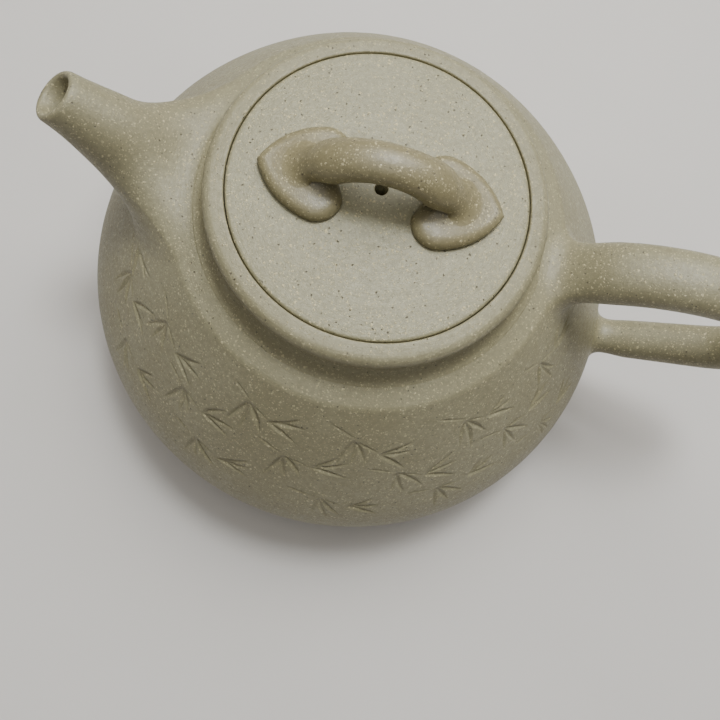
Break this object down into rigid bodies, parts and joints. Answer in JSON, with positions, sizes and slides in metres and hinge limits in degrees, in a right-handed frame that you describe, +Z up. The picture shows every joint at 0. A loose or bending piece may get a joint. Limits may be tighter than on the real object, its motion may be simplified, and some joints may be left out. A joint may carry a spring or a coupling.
{
  "type": "clay teapot",
  "caption": "Low, round-bellied unglazed clay teapot with a straight spout, a loop handle, an inset flat lid with a flange and a bridge knob between heart-shaped leaves.",
  "frame": {"origin": "centre of the plane that the foot ring stands on, on the pot's axis", "axes": "+Z up along the pot's axis, spout towards -X, handle towards +X, decorated side towards -Y"},
  "size_m": [0.1382, 0.1068, 0.0735],
  "materials": {
    "outer_clay": "sandy unglazed stoneware, olive-beige, softly burnished outside",
    "band_clay": "sandy unglazed stoneware, burnished neck and mouth band",
    "spout_clay": "sandy unglazed stoneware, burnished, rounder and smoother at the lip",
    "handle_clay": "sandy unglazed stoneware, polished a little by hands",
    "lid_clay": "sandy unglazed stoneware, flat burnished lid with fine grog",
    "knob_clay": "sandy unglazed stoneware, smoother and a little warmer from handling",
    "inside_clay": "unburnished stoneware inside, lightly stained by tea",
    "foot_clay": "unburnished stoneware foot, rubbed paler where it stands"
  },
  "bodies": {
    "pot": {"belly_wall": "outer_clay", "base_plate": "inside_clay", "foot_ring": "foot_clay", "shoulder_ring": "outer_clay", "neck_ring": "band_clay", "mouth_band": "band_clay", "spout": "spout_clay", "strainer": "inside_clay", "handle": "handle_clay"},
    "lid_skirt": {"lid_flange": "inside_clay"},
    "lid": {"lid_plate": "lid_clay", "knob_bridge": "knob_clay", "knob_leaf_left": "knob_clay", "knob_leaf_right": "knob_clay"}
  },
  "joints": [
    {"name": "lid_lift", "type": "slide", "parent": "pot", "child": "lid_skirt", "axis": [0, 0, 1], "range_m": [0, 0.04]},
    {"name": "lid_turn", "type": "hinge", "parent": "lid_skirt", "child": "lid", "pos_m": [0, 0, 0.0579], "axis": [0, 0, 1], "continuous": true}
  ]
}
